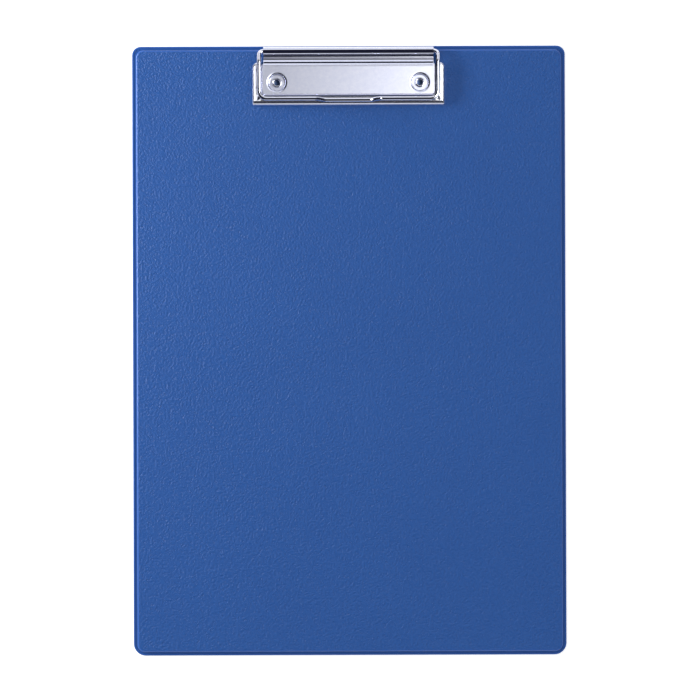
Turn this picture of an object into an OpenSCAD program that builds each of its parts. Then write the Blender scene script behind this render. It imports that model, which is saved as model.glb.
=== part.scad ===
// A4 clipboard: a film-covered board with a sprung wire clip at its top edge.
// X runs across the board, +Y towards the clip, and the back lies on Z = 0.

/* [Board] */
// Width over the welded rim
board_w = 226; // [190:1:260]
// Length over the welded rim
board_l = 318; // [240:1:360]
// Thickness of the stiff core board
core_t = 2.4; // [1.8:0.1:3.2]
// Thickness of each covering film
film_t = 0.3; // [0.2:0.05:0.4]
// Width of the flat rim where the two films are welded
rim_w = 2; // [1.5:0.1:3]
// Width of the raised bead along the outer edge of the rim
bead_w = 0.9; // [0.5:0.1:1.3]
// Height of the bead above the rest of the rim
bead_h = 0.2; // [0.1:0.05:0.3]
// Rounding of the bead's outer edge
bead_round = 0.25; // [0.1:0.05:0.35]
// Outer corner radius at the clip end
clip_corner_r = 4.5; // [3:0.1:9]
// Outer corner radius at the foot end
foot_corner_r = 6.3; // [3:0.1:12]
// Corner radius of the core board
core_corner_r = 3.7; // [2:0.1:6]
// Rounding of the front film over the edge of the core
shoulder_r = 1.2; // [0.8:0.1:1.6]

/* [Base plate] */
// Thickness of the steel sheet
sheet_t = 1; // [0.8:0.05:1.2]
// Width over the turned-down sides
plate_w = 91.6; // [80:0.2:110]
// Height of the raised top above the board
plate_h = 2.6; // [2.4:0.1:3]
// Corner radius seen from above
plate_corner_r = 2; // [1.6:0.1:4]
// Distance from the hinge axis to the turned-down front
plate_reach = 23.3; // [22:0.1:28]
// Distance from the hinge axis to the flat top, past the rear step
step_reach = 8.1; // [7.4:0.1:8.8]
// Slope of the rear step where it is steepest
step_slope = 36; // [34:1:42]
// Radius of the rear step's upper bend, at mid-sheet
crest_r = 2.9; // [2:0.1:4]
// Distance from the hinge axis to the rear end of the turned-down sides
side_reach = 6.5; // [5.4:0.1:7.2]
// How far the rolled edge is narrower than the plate on each side
edge_relief = 1.5; // [1.3:0.1:3]
// Length of the slanting cut at each rear corner
corner_cut = 1.8; // [1:0.1:3]
// Outer radius of the sheet's folds
fold_r = 1.3; // [1.2:0.05:1.4]
// Distance from the board's top edge to the rolled edge
clip_inset = 0.9; // [0.3:0.1:4]
// How far round the sheet is rolled
curl_angle = 295; // [270:1:300]

/* [Rivets] */
// Distance from the plate's side to each rivet's centre
rivet_inset = 8.6; // [7.5:0.1:14]
// Distance from the plate's front to each rivet's centre
rivet_set = 7; // [6.9:0.1:9]
// Radius of the shank
shank_r = 2; // [1.6:0.05:2.2]
// Radius of the hollow
hollow_r = 1.45; // [1.4:0.05:1.5]
// Radius of the wide head at the back
head_r = 4.5; // [3.5:0.1:6]
// Thickness of the wide head
head_t = 0.6; // [0.4:0.05:0.8]
// Radius of the section of the rolled-over end
curl_r = 0.6; // [0.6:0.02:0.7]
// Radius of the flat floor in the drawn cup round each rivet
cup_floor_r = 3.9; // [3.2:0.05:3.95]

/* [Wire bail] */
// Diameter of the spring wire
wire_d = 2.2; // [1.8:0.1:2.4]
// Centre-line radius where the wire leaves the rolled edge
exit_r = 2.2; // [2:0.1:2.4]
// Centre-line radius where the wire climbs onto the jaw
climb_r = 3; // [2.4:0.1:3.2]
// Centre-line radius of the two front corners
corner_r = 4; // [3:0.1:8]
// Centre-line radius of the four bends of the grip
grip_r = 3; // [2.4:0.1:3.2]
// How far behind the jaw the wire stops climbing
level_lead = 0.6; // [0.5:0.1:1]
// Length of wire that each end hides inside the rolled edge
stub_l = 38; // [20:1:39]
// Width of the raised grip in the middle
grip_w = 33; // [24:1:44]
// Height of the grip above the rest of the wire
grip_h = 3; // [2:0.1:5]
// How far the grip leans forward
grip_lean = 1; // [0:0.1:1.5]
// Length of each slope of the grip, seen from the front
grip_slope = 4.5; // [4:0.1:8]

/* [Clamp jaw] */
// Outside height of the jaw
jaw_h = 3.2; // [3:0.1:4]
// Width of the side arms, wall included
arm_w = 3.9; // [3.6:0.1:6]
// Width of the front bar, wall included
bar_w = 4.8; // [4.6:0.1:7]
// Rounding of the front bar, from its top down to its lip
bar_round = 2.9; // [2:0.1:2.9]
// Outer radius of the rear corners
arm_end_r = 2.6; // [2:0.1:3.4]
// Outer radius of the front corners
bar_corner_r = 1.6; // [1.6:0.1:3]
// How far the arms reach back past the plate's turned-down sides
arm_reach = 0.7; // [0:0.1:1.2]
// Distance from the jaw's inner edge to the middle of the wire along the bar
wire_set = 1.25; // [1.2:0.05:1.6]
// Distance from the jaw's inner edge to the middle of the wire along each arm
leg_set = 0.4; // [0.3:0.05:1.2]

/* [Clearances] */
// Between the wire and the rolled edge, all round
hinge_gap = 0.08; // [0.04:0.01:0.1]
// Between the jaw and the base plate
jaw_gap = 0.3; // [0.2:0.05:0.8]
// Between the resting jaw and the board
lip_gap = 0.05; // [0.02:0.01:0.2]
// Between a rivet and the holes that it fills
rivet_gap = 0.05; // [0:0.01:0.15]
// Between the wire and the jaw under it
weld_gap = 0.02; // [0:0.01:0.05]

/* [Hidden] */
$fn = 64;

film_blue = "#36599A";
card_grey = "#8F8A80";
chrome = "#D5D8E2";
past = 1;                                   // how far a cut runs past what it cuts
tuck = 0.2;                                 // how far one shape runs into the next to join it

board_t = core_t + 2 * film_t;
core_w = board_w - 2 * (rim_w + film_t);
core_l = board_l - 2 * (rim_w + film_t);

wire_r = wire_d / 2;
bore_r = wire_r + hinge_gap;
barrel_r = bore_r + sheet_t;
axis_y = board_l / 2 - clip_inset - barrel_r;
axis_z = board_t + barrel_r;

barrel_w = plate_w - 2 * edge_relief;
plate_top = board_t + plate_h;
plate_front = axis_y - plate_reach;
plate_back = axis_y - step_reach;
side_back = axis_y - side_reach;
bend_r = (plate_h - sheet_t) / 2;           // both bends of a rivet's cup, at mid-sheet
valley_r = (plate_h - sheet_t) / (1 - cos(step_slope)) - crest_r;   // the step's lower bend

rivet_x = plate_w / 2 - rivet_inset;
rivet_y = plate_front + rivet_set;
rivet_hole_r = shank_r + rivet_gap;
cup_mouth_r = cup_floor_r + 2 * bend_r;
pocket_r = head_r + rivet_gap;

jaw_inner_x = plate_w / 2 + jaw_gap;
jaw_inner_y = plate_front - jaw_gap;
jaw_w = 2 * (jaw_inner_x + arm_w);
jaw_front = jaw_inner_y - bar_w;
jaw_back = side_back + arm_reach;
jaw_l = jaw_back - jaw_front;
jaw_top = board_t + lip_gap + jaw_h;

leg_x = jaw_inner_x + leg_set;
front_y = jaw_inner_y - wire_set;
wire_z = jaw_top + weld_gap + wire_r;
stub_x = barrel_w / 2 - stub_l;
lap = 0.1;                                  // how far each straight runs into its bends
swell = 0.01;                               // the bends are this much fatter than the straights

// The wire from one hidden end to the other, as corners of its centre line,
// each with the radius that it is bent to.
wire_half = [
    [[stub_x, axis_y, axis_z], 0],
    [[leg_x, axis_y, axis_z], exit_r],
    [[leg_x, jaw_back + level_lead, wire_z], climb_r],
    [[leg_x, front_y, wire_z], corner_r],
    [[grip_w / 2, front_y, wire_z], grip_r],
    [[grip_w / 2 - grip_slope, front_y - grip_lean, wire_z + grip_h], grip_r],
];
half_n = len(wire_half);
wire_path = [
    for (i = [0 : half_n - 1]) wire_half[i],
    for (i = [half_n - 1 : -1 : 0]) [flip_x(wire_half[i][0]), wire_half[i][1]],
];

function flip_x(p) = [-p.x, p.y, p.z];
function unit(v) = v / norm(v);
function heading(path, i) = unit(path[i + 1][0] - path[i][0]);
function turn(path, i) = acos(heading(path, i - 1) * heading(path, i));
// Length that the bend at corner i takes from the straights beside it
function take_off(path, i) =
    i == 0 || i == len(path) - 1 ? 0 : path[i][1] * tan(turn(path, i) / 2);

// ---- Flat shapes ----

// Rectangle with one radius for its two back corners and one for its front corners
module outline(w, l, back_r, front_r) {
    polygon([
        [-w / 2, front_r - l / 2], [front_r - w / 2, -l / 2],
        [w / 2 - front_r, -l / 2], [w / 2, front_r - l / 2],
        [w / 2, l / 2 - back_r], [w / 2 - back_r, l / 2],
        [back_r - w / 2, l / 2], [-w / 2, l / 2 - back_r],
    ]);
    for (side = [-1, 1]) {
        translate([side * (w / 2 - back_r), l / 2 - back_r]) circle(back_r);
        translate([side * (w / 2 - front_r), front_r - l / 2]) circle(front_r);
    }
}

// Section of a rounded edge, with the strips beside it that run into its slab
module edge_section(r) {
    intersection() {
        circle(r);
        square(r);
    }
    translate([-tuck, -tuck]) square([tuck, tuck + r]);
    translate([-tuck, -tuck]) square([tuck + r, tuck]);
}

// Slice of a pie, for cutting rings
module wedge(reach, from, sweep) {
    steps = 4;
    polygon([
        [0, 0],
        for (i = [0 : steps])
            reach * [cos(from + sweep * i / steps), sin(from + sweep * i / steps)],
    ]);
}

module ring(mid, t) {
    difference() {
        circle(mid + t / 2);
        circle(mid - t / 2);
    }
}

// Section of a step in a sheet t thick: a bend up and a bend back down, each through slope,
// with 0, 0 at mid-sheet where the lower bend starts
module step_section(lower_r, upper_r, slope, t) {
    both = lower_r + upper_r;
    translate([0, lower_r]) intersection() {
        ring(lower_r, t);
        wedge(2 * lower_r, -90, slope);
    }
    translate([both * sin(slope), lower_r - both * cos(slope)]) intersection() {
        ring(upper_r, t);
        wedge(2 * upper_r, 90, slope);
    }
}

// ---- Solid shapes ----

// Slab whose upper edge is rounded all the way round
module soft_slab(w, l, h, back_r, front_r, edge_r) {
    low = h - edge_r;
    linear_extrude(low) outline(w, l, back_r, front_r);
    linear_extrude(h)
        outline(w - 2 * edge_r, l - 2 * edge_r, back_r - edge_r, front_r - edge_r);
    // Each side, from the right one round to the front: its distance out, then
    // the middle and the length of its straight run
    sides = [
        [w / 2, (front_r - back_r) / 2, l - back_r - front_r],
        [l / 2, 0, w - 2 * back_r],
        [w / 2, (back_r - front_r) / 2, l - back_r - front_r],
        [l / 2, 0, w - 2 * front_r],
    ];
    for (i = [0 : 3])
        rotate(90 * i) translate([sides[i][0] - edge_r, sides[i][1], low]) rotate([90, 0, 0])
            linear_extrude(sides[i][2], center = true) edge_section(edge_r);
    // Each corner, from the right back one round: which way it lies, and its radius
    corners = [[1, 1, back_r], [-1, 1, back_r], [-1, -1, front_r], [1, -1, front_r]];
    for (i = [0 : 3]) {
        c = corners[i];
        translate([c[0] * (w / 2 - c[2]), c[1] * (l / 2 - c[2]), low]) rotate(90 * i)
            rotate_extrude(angle = 90) translate([c[2] - edge_r, 0]) edge_section(edge_r);
    }
}

// Sheet drawn over a slab: the slab's skin, open below
module drawn_sheet(w, l, h, back_r, front_r, edge_r, t) {
    difference() {
        soft_slab(w, l, h, back_r, front_r, edge_r);
        translate([0, 0, -past])
            soft_slab(w - 2 * t, l - 2 * t, h - t + past, back_r - t, front_r - t, edge_r - t);
    }
}

module straight_wire(from, to, r) {
    d = to - from;
    translate(from) rotate([0, acos(d.z / norm(d)), atan2(d.y, d.x)]) cylinder(norm(d), r, r);
}

module wire_bend(path, i, r) {
    d = heading(path, i - 1);
    out = heading(path, i);
    n = unit(out - d * (d * out));          // towards the centre of the bend
    up = cross(-n, d);
    c = path[i][0] - d * take_off(path, i) + n * path[i][1];
    multmatrix([[-n.x, d.x, up.x, c.x], [-n.y, d.y, up.y, c.y], [-n.z, d.z, up.z, c.z]])
        rotate_extrude(angle = turn(path, i)) translate([path[i][1], 0]) circle(r + swell);
}

module bent_wire(path, r) {
    last = len(path) - 1;
    for (i = [0 : last - 1]) {
        d = heading(path, i);
        straight_wire(path[i][0] + d * (take_off(path, i) - (i == 0 ? 0 : lap)),
                      path[i + 1][0] - d * (take_off(path, i + 1) - (i + 1 == last ? 0 : lap)), r);
    }
    for (i = [1 : last - 1]) wire_bend(path, i, r);
}

module at_rivets() {
    for (side = [-1, 1]) translate([side * rivet_x, rivet_y, 0]) children();
}

// ---- Board ----

module core_board() {
    color(card_grey) difference() {
        translate([0, 0, film_t])
            soft_slab(core_w, core_l, core_t, core_corner_r, core_corner_r, shoulder_r - film_t);
        at_rivets() cylinder(board_t, rivet_hole_r, rivet_hole_r);
        at_rivets() cylinder(head_t + film_t, pocket_r + film_t, pocket_r + film_t);
    }
}

module front_cover() {
    color(film_blue) translate([0, 0, film_t]) difference() {
        union() {
            difference() {
                soft_slab(board_w, board_l, film_t + bead_h, clip_corner_r, foot_corner_r,
                          bead_round);
                translate([0, 0, film_t]) linear_extrude(past)
                    outline(board_w - 2 * bead_w, board_l - 2 * bead_w,
                            clip_corner_r - bead_w, foot_corner_r - bead_w);
            }
            soft_slab(core_w + 2 * film_t, core_l + 2 * film_t, core_t + film_t,
                      core_corner_r + film_t, core_corner_r + film_t, shoulder_r);
        }
        translate([0, 0, -past])
            soft_slab(core_w, core_l, core_t + past, core_corner_r, core_corner_r,
                      shoulder_r - film_t);
        at_rivets() cylinder(board_t, rivet_hole_r, rivet_hole_r);
    }
}

// The back film is pressed into a shallow pocket under each rivet's head
module back_cover() {
    color(film_blue) difference() {
        union() {
            linear_extrude(film_t) outline(board_w, board_l, clip_corner_r, foot_corner_r);
            at_rivets() cylinder(head_t + film_t, pocket_r + film_t, pocket_r + film_t);
        }
        at_rivets() translate([0, 0, -past]) cylinder(head_t + past, pocket_r, pocket_r);
        at_rivets() cylinder(board_t, rivet_hole_r, rivet_hole_r);
    }
}

// ---- Base plate ----

// Section through the rolled edge and the rear step, with the hinge axis at 0, 0
module rear_section() {
    mid = barrel_r - sheet_t / 2;
    foot = step_reach - (valley_r + crest_r) * sin(step_slope);
    difference() {
        ring(mid, sheet_t);
        wedge(2 * barrel_r, -90, 360 - curl_angle);
    }
    translate([0, -barrel_r]) square([foot, sheet_t]);
    translate([foot, -mid]) step_section(valley_r, crest_r, step_slope, sheet_t);
    translate([step_reach, plate_h - sheet_t - barrel_r]) square([tuck, sheet_t]);
}

// Section of the drawn cup, from the rivet's hole to the flat top
module cup_section() {
    translate([rivet_hole_r, 0]) square([cup_floor_r - rivet_hole_r, sheet_t]);
    translate([cup_floor_r, sheet_t / 2]) step_section(bend_r, bend_r, 90, sheet_t);
    translate([cup_mouth_r, plate_h - sheet_t]) square([tuck, sheet_t]);
}

// Flat top with its sides and front turned down. It is open at the rear, where the sides
// run on past the flat top and end in a slanting cut.
module top_sheet() {
    cover_l = side_back - plate_front + 2 * plate_corner_r;
    reach = plate_w / 2 + past;
    intersection() {
        translate([0, plate_front + cover_l / 2, board_t])
            drawn_sheet(plate_w, cover_l, plate_h, plate_corner_r, plate_corner_r, fold_r, sheet_t);
        linear_extrude(plate_top + past)
            polygon([[-reach, plate_front - past],
                     [reach, plate_front - past],
                     [reach, side_back - corner_cut],
                     [barrel_w / 2, side_back],
                     [barrel_w / 2, plate_back],
                     [-barrel_w / 2, plate_back],
                     [-barrel_w / 2, side_back],
                     [-reach, side_back - corner_cut]]);
    }
}

module base_plate() {
    color(chrome) {
        translate([0, axis_y, axis_z]) rotate([90, 0, -90])
            linear_extrude(barrel_w, center = true) rear_section();
        difference() {
            top_sheet();
            at_rivets() cylinder(plate_top + past, cup_mouth_r, cup_mouth_r);
        }
        at_rivets() translate([0, 0, board_t]) rotate_extrude() cup_section();
    }
}

// ---- Clip ----

// Block whose upper front edge is rounded, for trimming the front bar
module bar_block(w, l, h, r) {
    rotate([90, 0, 90]) linear_extrude(w, center = true) {
        translate([r - l / 2, 0]) square([l - r, h]);
        translate([-l / 2, 0]) square([r + tuck, h - r]);
        intersection() {
            translate([r - l / 2, h - r]) circle(r);
            translate([-l / 2, 0]) square([r + tuck, h]);
        }
    }
}

module jaw_slab(w, l, h, t) {
    intersection() {
        soft_slab(w - 2 * t, l - 2 * t, h - t, arm_end_r - t, bar_corner_r - t, fold_r - t);
        bar_block(w, l - 2 * t, h - t, bar_round - t);
    }
}

module clamp_jaw() {
    color(chrome) difference() {
        translate([0, jaw_front + jaw_l / 2, board_t + lip_gap]) difference() {
            jaw_slab(jaw_w, jaw_l, jaw_h, 0);
            jaw_slab(jaw_w, jaw_l, jaw_h, sheet_t);
        }
        translate([-jaw_inner_x, jaw_inner_y, board_t])
            cube([2 * jaw_inner_x, jaw_l, jaw_h + past]);
    }
}

module wire_bail() {
    color(chrome) bent_wire(wire_path, wire_r);
}

// Wide head, hollow shank and an end rolled over onto the floor of the cup
module rivet(side) {
    seat_z = board_t + sheet_t;
    color(chrome) translate([side * rivet_x, rivet_y, 0]) rotate_extrude() {
        square([head_r - head_t, head_t]);
        intersection() {
            translate([head_r - head_t, head_t]) circle(head_t);
            translate([head_r - head_t - tuck, 0]) square([head_t + tuck, head_t]);
        }
        translate([hollow_r, 0]) square([shank_r - hollow_r, seat_z + curl_r / 2]);
        difference() {
            translate([hollow_r + curl_r, seat_z + curl_r / 2]) circle(curl_r);
            translate([shank_r, 0]) square([2 * curl_r, seat_z]);
            square([shank_r, seat_z]);
        }
    }
}

module rivet_left() { rivet(-1); }
module rivet_right() { rivet(1); }

core_board();
front_cover();
back_cover();
base_plate();
clamp_jaw();
wire_bail();
rivet_left();
rivet_right();
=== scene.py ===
# %% [markdown]
# # A film-covered clipboard with a sprung wire clip
# The board, the chromed plate, the rivets, the wire bail and the clamping jaw come from the
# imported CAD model, which is loaded as a fixed frame. This lesson gives each of them its
# finish, adds the small formed details that a maker's hands and machines leave, and sets up
# a plain studio. All lengths are in metres; `MM` turns millimetres into metres.

# %% Load the frame
import math
import random
import bpy
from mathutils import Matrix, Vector


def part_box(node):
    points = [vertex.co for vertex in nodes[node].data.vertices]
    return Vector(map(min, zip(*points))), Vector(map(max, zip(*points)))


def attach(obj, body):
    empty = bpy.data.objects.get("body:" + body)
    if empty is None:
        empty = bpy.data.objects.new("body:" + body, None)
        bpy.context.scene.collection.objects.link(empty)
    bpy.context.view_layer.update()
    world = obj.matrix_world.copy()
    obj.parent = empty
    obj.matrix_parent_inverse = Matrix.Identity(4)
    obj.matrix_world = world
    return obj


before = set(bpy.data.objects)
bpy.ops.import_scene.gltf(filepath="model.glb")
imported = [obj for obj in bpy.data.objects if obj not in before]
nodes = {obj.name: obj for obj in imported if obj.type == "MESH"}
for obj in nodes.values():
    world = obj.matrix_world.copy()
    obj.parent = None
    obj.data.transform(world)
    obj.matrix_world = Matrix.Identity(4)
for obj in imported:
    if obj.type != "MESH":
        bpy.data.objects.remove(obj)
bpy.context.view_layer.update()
MM = 0.001
print("CAD nodes:", ", ".join(sorted(nodes)))

# %% [markdown]
# A colour is easiest to read as the hex value that a screen shows, but shaders work on
# linear light, so one function turns the first into the second. A second one adds a node
# with its settings and its links, and a third starts a material and hands back its shader.

# %% Helpers for materials
def linear(hex_colour):
    """An sRGB hex colour as linear red, green, blue and alpha."""
    parts = [int(hex_colour[i:i + 2], 16) / 255 for i in (1, 3, 5)]
    return [c / 12.92 if c <= 0.04045 else ((c + 0.055) / 1.055) ** 2.4 for c in parts] + [1]


def add(tree, kind, inputs=None, **settings):
    """A new node; an input takes a number, a colour or another node's output."""
    node = tree.nodes.new(kind)
    for name, value in settings.items():
        setattr(node, name, value)
    for name, value in (inputs or {}).items():
        if isinstance(value, bpy.types.NodeSocket):
            tree.links.new(value, node.inputs[name])
        else:
            node.inputs[name].default_value = value
    return node


def new_material(name):
    """A material with its node tree and its Principled shader."""
    material = bpy.data.materials.new(name)
    material.use_nodes = True
    return material, material.node_tree, material.node_tree.nodes["Principled BSDF"]


def dress(names, material):
    """CAD nodes take a material in their own slots."""
    for name in names:
        for slot in nodes[name].material_slots:
            slot.material = material
    print(material.name, "->", ", ".join(names))


# %% [markdown]
# The camera looks straight down from 1.3 m, as a copy stand holds it, and a long lens keeps
# the board's sides parallel. The picture is 700 pixels wide and 1.918 of them make one
# millimetre at the board's face, which fixes the lens. The camera is rolled by about a fifth
# of a degree, so the board lies that much askew in the picture.

# %% Camera
PICTURE = 700
PIXELS_PER_MM = 1.918
CAMERA_HEIGHT = 1300 * MM
CAMERA_ROLL = math.radians(-0.18)
board_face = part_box("front_cover")[1].z
frame_width = PICTURE / PIXELS_PER_MM * MM

camera_data = bpy.data.cameras.new("copy_stand_camera")
camera_data.sensor_width = 36
camera_data.lens = camera_data.sensor_width * CAMERA_HEIGHT / frame_width
camera_data.clip_end = 20
camera = bpy.data.objects.new("copy_stand_camera", camera_data)
bpy.context.scene.collection.objects.link(camera)
camera.location = (0.36 * MM, 0.31 * MM, board_face + CAMERA_HEIGHT)
camera.rotation_euler = (0, 0, CAMERA_ROLL)
bpy.context.scene.camera = camera
bpy.context.scene.view_settings.view_transform = "Standard"
print("lens:", round(camera_data.lens, 1), "mm, frame:", round(frame_width / MM, 1), "mm wide")

# %% [markdown]
# A finish that changes from place to place is built from numbers. A band rises smoothly from
# 0 to 1 between two places, sums and products join bands, and a mix turns the result into a
# colour or a value. The Mix node has a pair of inputs for each kind of data, all with the
# same names, so they are told apart by their numbers, which are named here once.

# %% Helpers for patterns
COLOUR_A, COLOUR_B, COLOUR_OUT = 6, 7, 2
VALUE_A, VALUE_B, VALUE_OUT = 2, 3, 0


def band(tree, value, start, full):
    """0 at start, 1 at full, smooth between; full may be the lower of the two."""
    return add(tree, "ShaderNodeMapRange", {"Value": value, "From Min": start, "From Max": full},
               interpolation_type="SMOOTHSTEP").outputs["Result"]


def maths(tree, operation, a, b=0.0):
    """The result of one sum, such as ADD or MULTIPLY."""
    return add(tree, "ShaderNodeMath", {0: a, 1: b}, operation=operation).outputs[0]


def mix_colours(tree, factor, a, b):
    """Colour a where factor is 0 and colour b where it is 1."""
    return add(tree, "ShaderNodeMix", {"Factor": factor, COLOUR_A: a, COLOUR_B: b},
               data_type="RGBA").outputs[COLOUR_OUT]


def mix_values(tree, factor, a, b):
    """Number a where factor is 0 and number b where it is 1."""
    return add(tree, "ShaderNodeMix", {"Factor": factor, VALUE_A: a, VALUE_B: b},
               data_type="FLOAT").outputs[VALUE_OUT]


def xyz(tree, vector):
    """The three parts of a vector."""
    parts = add(tree, "ShaderNodeSeparateXYZ", {"Vector": vector}).outputs
    return parts["X"], parts["Y"], parts["Z"]


# %% [markdown]
# Chrome has no colour of its own: it shows the room. So the room is drawn as a photographer
# would build it: a dark studio with one white wall behind the board's top edge, a soft box
# to the right of the camera and a faint glow low down in front. Bright metal then gets black
# lines beside white ones. Matt surfaces see an even, pale room instead, which is what the
# white table gives them, and the camera sees plain white past the table's edge.
#
# Each light is a patch of directions. A direction's parts run from -1 to 1: x to the right,
# y towards the board's top edge and z up.

# %% The room
EVEN_LIGHT = (0.69, 0.71, 0.75, 1)                 # what matt surfaces get from all round
WHITE = linear("#FFFFFF")

world = bpy.data.worlds.new("studio_room")
bpy.context.scene.world = world
world.use_nodes = True
tree = world.node_tree
tree.nodes.clear()
x, y, z = xyz(tree, add(tree, "ShaderNodeTexCoord").outputs["Generated"])
right_box = maths(tree, "MULTIPLY", band(tree, x, 0.18, 0.30), band(tree, x, 0.70, 0.60))
right_box = maths(tree, "MULTIPLY", right_box, band(tree, z, 0.30, 0.40))
right_box = maths(tree, "MULTIPLY", right_box, band(tree, y, -0.60, -0.50))
far_wall = maths(tree, "MULTIPLY", band(tree, y, 0.50, 0.68), band(tree, z, 0.06, 0.18))
far_wall = maths(tree, "MULTIPLY", far_wall, band(tree, maths(tree, "ABSOLUTE", x), 0.62, 0.42))
near_glow = maths(tree, "MULTIPLY", band(tree, y, -0.86, -0.96), 0.8)
lit = maths(tree, "MAXIMUM", right_box, maths(tree, "MAXIMUM", far_wall, near_glow))
room = mix_colours(tree, lit, linear("#191B2A"), linear("#F6F8FF"))
rays = add(tree, "ShaderNodeLightPath")
seen = mix_colours(tree, rays.outputs["Is Glossy Ray"], EVEN_LIGHT, room)
seen = mix_colours(tree, rays.outputs["Is Camera Ray"], seen, WHITE)
background = add(tree, "ShaderNodeBackground", {"Color": seen, "Strength": 1.0})
add(tree, "ShaderNodeOutputWorld", {"Surface": background.outputs["Background"]})
print("room:", len(tree.nodes), "nodes")

# %% [markdown]
# The table is a matt white sheet. It glows a little for the camera and for bright metal, so
# that it reads as pure white there, and still takes the board's shadow.

# %% Table
TABLE_SIZE = 12                                    # metres, so that its edge is out of sight
TABLE_GLOW = 0.45

bpy.ops.object.select_all(action="DESELECT")
bpy.ops.mesh.primitive_plane_add(size=TABLE_SIZE, location=(0, 0, -0.05 * MM))
table = bpy.context.object
table.name = "table"
table_white, tree, shader = new_material("matt_white_table")
shader.inputs["Base Color"].default_value = linear("#F4F4F4")
shader.inputs["Roughness"].default_value = 0.9
path = add(tree, "ShaderNodeLightPath")
direct = maths(tree, "ADD", path.outputs["Is Camera Ray"], path.outputs["Is Glossy Ray"])
direct = maths(tree, "ADD", direct, path.outputs["Is Transmission Ray"])
glow = maths(tree, "MULTIPLY", direct, TABLE_GLOW)
tree.links.new(glow, shader.inputs["Emission Strength"])
shader.inputs["Emission Color"].default_value = WHITE
table.data.materials.append(table_white)
print("table at", round(table.location.z / MM, 2), "mm")

# %% [markdown]
# The lamps are soft boxes, each flagged to its own part of the work. The key is a long low
# strip beside the left edge: it rakes over the film, so that its grain shows, the light
# fades across the board and the left shoulder shines. Chrome would show it as a white line
# on the dark side of every bend, so the clip is left out. A second box stands near the clip
# on the right and wakes the satin grain of the steel, which grows brighter towards it. A
# small third one does the same for the jaw's left arm.

# %% Lamps
STEEL = ("base_plate", "clamp_jaw", "wire_bail", "rivet_left", "rivet_right")
FILM = ("front_cover", "back_cover", "core_board")


def lamp(name, place, size, watts, lit_objects):
    """A soft box that faces the board's middle line and lights only some objects."""
    data = bpy.data.lights.new(name, "AREA")
    data.shape = "RECTANGLE"
    data.size, data.size_y = size
    data.energy = watts
    box = bpy.data.objects.new(name, data)
    bpy.context.scene.collection.objects.link(box)
    box.location = place
    to_board = Vector((0, place[1], 0)) - Vector(place)
    box.rotation_euler = to_board.to_track_quat("-Z", "Y").to_euler()
    flagged = bpy.data.collections.new("lit_by_" + name)
    for lit_object in lit_objects:
        flagged.objects.link(lit_object)
    box.light_linking.receiver_collection = flagged
    return flagged


key_lit = lamp("key_box", (-0.62, 0.22, 0.24), (0.56, 0.14), 4.6,
               [nodes[name] for name in FILM] + [table])
clip_lit = lamp("clip_box", (0.29, 0.12, 0.55), (0.28, 0.28), 2.3,
                [nodes[name] for name in STEEL])
lamp("jaw_box", (-0.30, 0.12, 0.50), (0.25, 0.25), 1.2, [nodes["clamp_jaw"]])

# %% [markdown]
# The cover is soft PVC film, calendered with a fine leather grain and welded round the
# board. The grain is about a millimetre wide and much shallower than that, too fine to
# model, so it is a bump made of two patterns: round cells, lower in the middle than between
# them, and finer wrinkles. Hot tools press the rim and the shoulder smooth, so the grain
# fades out there and the gloss rises.

# %% PVC film
CELL, WRINKLE = 1.2 * MM, 1.0 * MM                 # widths of one of each
GRAIN_DEPTH = 0.75 * MM

film, tree, shader = new_material("calendered_pvc_film")
texture = add(tree, "ShaderNodeTexCoord")
where = texture.outputs["Object"]
height = xyz(tree, where)[2]
lean = xyz(tree, texture.outputs["Normal"])[2]
top = maths(tree, "MULTIPLY", band(tree, height, board_face - 0.10 * MM, board_face - 0.02 * MM),
            band(tree, lean, 0.95, 0.99))
grained = maths(tree, "MAXIMUM", top, band(tree, lean, -0.95, -0.99))
cells = add(tree, "ShaderNodeTexVoronoi", {"Vector": where, "Scale": 1 / CELL,
                                           "Smoothness": 0.5}, feature="SMOOTH_F1")
wrinkles = add(tree, "ShaderNodeTexNoise", {"Vector": where, "Scale": 1 / WRINKLE,
                                            "Detail": 3, "Roughness": 0.65})
grain = mix_values(tree, 0.65, cells.outputs["Distance"], wrinkles.outputs["Fac"])
depth = add(tree, "ShaderNodeMapRange", {"Value": grained, "To Min": 0.06}).outputs["Result"]
bump = add(tree, "ShaderNodeBump", {"Height": grain, "Distance": GRAIN_DEPTH, "Strength": depth})
tree.links.new(bump.outputs["Normal"], shader.inputs["Normal"])
print("film grain:", len(tree.nodes), "nodes")

# %% [markdown]
# The colour is one blue that drifts a little over some centimetres, as film from a calender
# does. It is painted darker in the grain's valleys and lighter where the grain stands higher,
# as painted shade. The smooth rim is a colour of its own, and its upright faces, the cut edge
# and the steep foot of the shoulder, are painted darkest, as painted shade.

# %% Film colour and gloss
CLOUD = 60 * MM
RIM_ROUGHNESS, GRAIN_ROUGHNESS = 0.28, 0.34

clouds = add(tree, "ShaderNodeTexNoise", {"Vector": where, "Scale": 1 / CLOUD, "Detail": 2})
# The grain's part of this mix is painted shade: valleys darker, raised parts lighter.
drift_and_grain_shade = mix_values(tree, 0.65, clouds.outputs["Fac"], band(tree, grain, 0.25, 0.65))
blue = mix_colours(tree, drift_and_grain_shade, linear("#194D94"), linear("#2359A2"))
# Upright faces, the cut edge and the shoulder's steep foot, are painted dark as shade; flatter
# rim faces keep the rim's own blue.
rim_and_painted_edge_shade = mix_colours(tree, band(tree, lean, 0.05, 0.45), linear("#12274E"), linear("#2A5CAC"))
tree.links.new(mix_colours(tree, grained, rim_and_painted_edge_shade, blue), shader.inputs["Base Color"])
gloss = mix_values(tree, grained, RIM_ROUGHNESS, GRAIN_ROUGHNESS)
tree.links.new(gloss, shader.inputs["Roughness"])
dress(["front_cover", "back_cover"], film)

# %% [markdown]
# Between the films lies a stiff board of grey paper pulp. The films hide it, except where
# the rivets go through, so its finish is simple: matt, with short mixed fibres.

# %% Core board
FIBRE = 0.8 * MM

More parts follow.
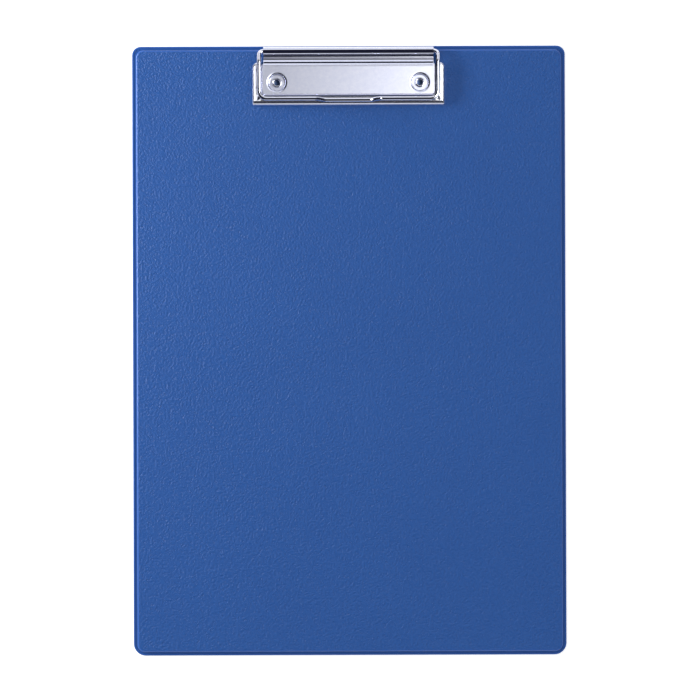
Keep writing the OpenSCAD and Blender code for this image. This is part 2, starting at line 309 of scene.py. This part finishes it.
core, tree, shader = new_material("pressed_pulp_board")
where = add(tree, "ShaderNodeTexCoord").outputs["Object"]
fibres = add(tree, "ShaderNodeTexNoise", {"Vector": where, "Scale": 1 / FIBRE, "Detail": 4})
grey = mix_colours(tree, fibres.outputs["Fac"], linear("#837E75"), linear("#9C978C"))
tree.links.new(grey, shader.inputs["Base Color"])
shader.inputs["Roughness"].default_value = 0.9
dress(["core_board"], core)

# %% [markdown]
# Clip, plate and rivets are steel, plated with bright chrome. The plating copies what lies
# under it: drawn wire and rolled bends are smooth and mirror the room in hard lines, while
# the flat faces keep the rolled sheet's fine satin grain and only glow. One material can
# do both, because a flat face is told from a bend by its direction. A faint mottle, a
# millimetre or two wide, is what a plating bath leaves.

# %% Chrome
MOTTLE = 1.6 * MM


def chrome(name, bright, dull, roughness):
    """Bright chrome plating over steel."""
    material, tree, shader = new_material(name)
    mottle = add(tree, "ShaderNodeTexNoise", {
        "Vector": add(tree, "ShaderNodeTexCoord").outputs["Object"], "Scale": 1 / MOTTLE,
        "Detail": 4, "Roughness": 0.65})
    colour = mix_colours(tree, mottle.outputs["Fac"], linear(dull), linear(bright))
    tree.links.new(colour, shader.inputs["Base Color"])
    shader.inputs["Metallic"].default_value = 1.0
    shader.inputs["Roughness"].default_value = roughness
    return material


def rub(material, roughness, *spans, bend=(0.94, 0.985)):
    """Satin on faces that point up and lie within all the spans. A span is an axis and the
    places on it, in mm, where the satin starts and where it is full, the same on the left as
    on the right. It fades out where a bend leans between the two values of bend."""
    tree = material.node_tree
    rough = tree.nodes["Principled BSDF"].inputs["Roughness"]
    texture = add(tree, "ShaderNodeTexCoord")
    up = xyz(tree, texture.outputs["Normal"])[2]
    place = dict(zip("XYZ", xyz(tree, texture.outputs["Object"])))
    satin = band(tree, up, *bend)
    for axis, start, full in spans:
        distance = maths(tree, "ABSOLUTE", place[axis])
        satin = maths(tree, "MULTIPLY", satin, band(tree, distance, start * MM, full * MM))
    before = rough.links[0].from_socket if rough.is_linked else rough.default_value
    tree.links.new(mix_values(tree, satin, before, roughness), rough)


# %% [markdown]
# The plate is satin in front of its rear step only, because the barrel and the step were
# burnished by the rolls. A narrow dull strip is left between the barrel and the step.

# %% Plate
plate_chrome = chrome("chromed_rolled_sheet", "#F4F5FF", "#DADEF2", 0.07)
rub(plate_chrome, 0.42, ("Y", 149.4, 148.9))
rub(plate_chrome, 0.32, ("Y", 151.6, 152.1), ("Y", 153.4, 153.0))
dress(["base_plate"], plate_chrome)

# %% [markdown]
# The jaw is the same sheet, pressed. Hands rub its front bar to a soft shine, while the
# outer strips of its arms and its corners, which are seldom touched, stay satin. The wire is
# the brightest of all, because a drawing die burnishes it all round.

# %% Jaw and wire
PRESSED_BEND = (0.985, 0.999)                      # satin on flatter faces than the plate's

jaw_chrome = chrome("chromed_pressed_sheet", "#F6F7FF", "#E8EAF6", 0.2)
rub(jaw_chrome, 0.5, ("X", 47.6, 48.3), bend=PRESSED_BEND)
rub(jaw_chrome, 0.5, ("X", 45.2, 46.2), ("Y", 133.5, 132.8), bend=PRESSED_BEND)
dress(["clamp_jaw"], jaw_chrome)
dress(["wire_bail"], chrome("chromed_drawn_wire", "#F6F7FF", "#EAECF6", 0.05))

# %% [markdown]
# The rivets are tubular, and their rims are rolled over by a punch. The bottom of the hollow
# is rougher, and its dark blue-grey is painted shade with a painted blue reflection of the
# film. Both rivets share one material, which measures the distance from the nearer rivet's
# middle.

# %% Rivets
lowest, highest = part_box("rivet_right")
rivet_x, rivet_y = (lowest.x + highest.x) / 2, (lowest.y + highest.y) / 2
HOLLOW_RADIUS = 1.45 * MM
RIM_SHINE, HOLLOW_DULLNESS = 0.1, 0.5              # roughness outside and inside

rivet_chrome = chrome("chromed_rolled_rivet", "#F2F3FA", "#E2E4F0", RIM_SHINE)
tree = rivet_chrome.node_tree
shader = tree.nodes["Principled BSDF"]
plating = shader.inputs["Base Color"].links[0].from_socket
spot = xyz(tree, add(tree, "ShaderNodeTexCoord").outputs["Object"])
from_middle = add(tree, "ShaderNodeCombineXYZ", {
    "X": maths(tree, "SUBTRACT", maths(tree, "ABSOLUTE", spot[0]), rivet_x),
    "Y": maths(tree, "SUBTRACT", spot[1], rivet_y)})
distance = add(tree, "ShaderNodeVectorMath", {0: from_middle.outputs[0]}, operation="LENGTH")
outside_hollow = band(tree, distance.outputs["Value"], HOLLOW_RADIUS - 0.1 * MM,
              HOLLOW_RADIUS + 0.05 * MM)
# Inside the hollow the colour is painted shade with a painted blue reflection of the film.
tree.links.new(mix_colours(tree, outside_hollow, linear("#54688F"), plating),
               shader.inputs["Base Color"])
tree.links.new(mix_values(tree, outside_hollow, HOLLOW_DULLNESS, RIM_SHINE), shader.inputs["Roughness"])
dress(["rivet_left", "rivet_right"], rivet_chrome)

# %% [markdown]
# The wire is joined to the jaw by resistance welding: two electrodes squeeze the pair
# together, and a little steel wells out beside the wire as an oval pad. There are two pads
# on each arm and one at each front corner. One is modelled from a short cylinder, because a
# top face is easy to inset and sink, as the electrode's tip does, and a bevel then rounds
# it. The rest are copies.

# %% One weld pad
def choose_faces(piece, test):
    """In edit mode, the faces that pass the test are selected and no others."""
    bpy.ops.object.mode_set(mode="EDIT")
    bpy.ops.mesh.select_mode(type="FACE")
    bpy.ops.mesh.select_all(action="DESELECT")
    bpy.ops.object.mode_set(mode="OBJECT")
    for face in piece.data.polygons:
        face.select = test(face)
    bpy.ops.object.mode_set(mode="EDIT")


PAD_SIZE = (1.7 * MM, 2.9 * MM, 0.7 * MM)          # half of its height stands above the jaw

jaw_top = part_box("clamp_jaw")[1].z
bpy.ops.object.select_all(action="DESELECT")
bpy.ops.mesh.primitive_cylinder_add(vertices=32, radius=0.5, depth=1, location=(0, 0, jaw_top))
pad = bpy.context.object
pad.scale = PAD_SIZE
bpy.ops.object.transform_apply(location=True, rotation=False, scale=True)
choose_faces(pad, lambda face: face.normal.z > 0.9)
bpy.ops.mesh.inset(thickness=0.3 * MM, depth=-0.1 * MM)
bpy.ops.object.mode_set(mode="OBJECT")
bevel = pad.modifiers.new("rounding", "BEVEL")
bevel.width = 0.14 * MM
bevel.segments = 3
bpy.ops.object.modifier_apply(modifier=bevel.name)
print("weld pad:", len(pad.data.polygons), "faces")

# %% [markdown]
# The pads sit on the outer side of the wire, half under it: along the arms they follow the
# legs, and at the corners they lie aslant. Where they go is listed once for both sides.

# %% Weld marks
def join(pieces, name):
    """Several objects as one, under a new name."""
    bpy.ops.object.select_all(action="DESELECT")
    for piece in pieces:
        piece.select_set(True)
    bpy.context.view_layer.objects.active = pieces[0]
    bpy.ops.object.join()
    joined = bpy.context.object
    joined.name = name
    return joined


WIRE_LEG, WIRE_FRONT = 46.5 * MM, 131.07 * MM      # middle lines of the leg and the front
BESIDE = 0.7 * MM                                  # from there to the middle of a pad
places = []
for side in (-1, 1):
    places += [(side * (WIRE_LEG + BESIDE), 146 * MM, 0),
               (side * (WIRE_LEG + BESIDE), 137 * MM, 0),
               (side * (WIRE_LEG + 0.4 * BESIDE), WIRE_FRONT + 0.6 * BESIDE, side * 45)]
copies = []
for x, y, turn in places:
    bpy.ops.object.select_all(action="DESELECT")
    pad.select_set(True)
    bpy.context.view_layer.objects.active = pad
    bpy.ops.object.duplicate()
    copy = bpy.context.object
    copy.location = (x, y, 0)
    copy.rotation_euler = (0, 0, math.radians(turn))
    bpy.ops.object.transform_apply(location=True, rotation=True, scale=True)
    copies.append(copy)
bpy.data.objects.remove(pad)
weld_marks = join(copies, "weld_marks")
bpy.ops.object.shade_smooth_by_angle(angle=math.radians(40))
weld_marks.data.materials.append(chrome("chromed_weld_steel", "#E9EBF4", "#C3C8D8", 0.16))
clip_lit.objects.link(weld_marks)
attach(weld_marks, "clamp")
print("weld marks:", len(places), "pads,", len(weld_marks.data.polygons), "faces")

# %% [markdown]
# Where the welded rim goes round a corner, the stretched film of the shoulder gathers in
# small puckers. Each is a low ridge that runs out from the shoulder's foot and thins towards
# the cut edge. A sphere, pinched in three steps towards its outer end and drawn out long and
# narrow, is close to that shape. Sizes and angles vary a little, as a hot tool leaves them,
# and a fixed seed makes them the same each time.

# %% Puckers in the film
HALF_WIDTH, HALF_LENGTH = 113 * MM, 159 * MM
RIM_TOP = 0.6 * MM
CLIP_CORNER, FOOT_CORNER = 4.5 * MM, 6.3 * MM      # radii of the film's outline
SPREAD = (-27, 2, 29)                              # degrees either side of the diagonal
PINCHES = ((0.05, 0.8), (0.2, 0.7), (0.33, 0.6))   # where each begins and how much it leaves

chance = random.Random(7)
ridges = []
for across, along, radius in ((-1, 1, CLIP_CORNER), (1, 1, CLIP_CORNER),
                              (-1, -1, FOOT_CORNER), (1, -1, FOOT_CORNER)):
    for spread in SPREAD:
        angle = math.atan2(along, across) + math.radians(spread + chance.uniform(-6, 6))
        outwards = Vector((math.cos(angle), math.sin(angle), 0))
        middle = Vector((across * (HALF_WIDTH - radius), along * (HALF_LENGTH - radius),
                         RIM_TOP))
        bpy.ops.object.select_all(action="DESELECT")
        bpy.ops.mesh.primitive_uv_sphere_add(segments=16, ring_count=10, radius=0.5)
        ridge = bpy.context.object
        for begin, squeeze in PINCHES:
            choose_faces(ridge, lambda face: face.center.x > begin)
            bpy.ops.transform.resize(value=(1, squeeze, squeeze), center_override=(0, 0, 0))
        bpy.ops.object.mode_set(mode="OBJECT")
        ridge.scale = (chance.uniform(1.4, 1.7) * MM, chance.uniform(0.4, 0.55) * MM, 0.42 * MM)
        ridge.location = middle + outwards * (radius - chance.uniform(1.1, 1.3) * MM)
        ridge.rotation_euler = (0, 0, angle)
        bpy.ops.object.transform_apply(location=True, rotation=True, scale=True)
        ridges.append(ridge)
puckers = join(ridges, "film_puckers")
bpy.ops.object.shade_smooth()
puckers.data.materials.append(film)
key_lit.objects.link(puckers)
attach(puckers, "board")
print("puckers:", len(ridges), "ridges,", len(puckers.data.polygons), "faces")
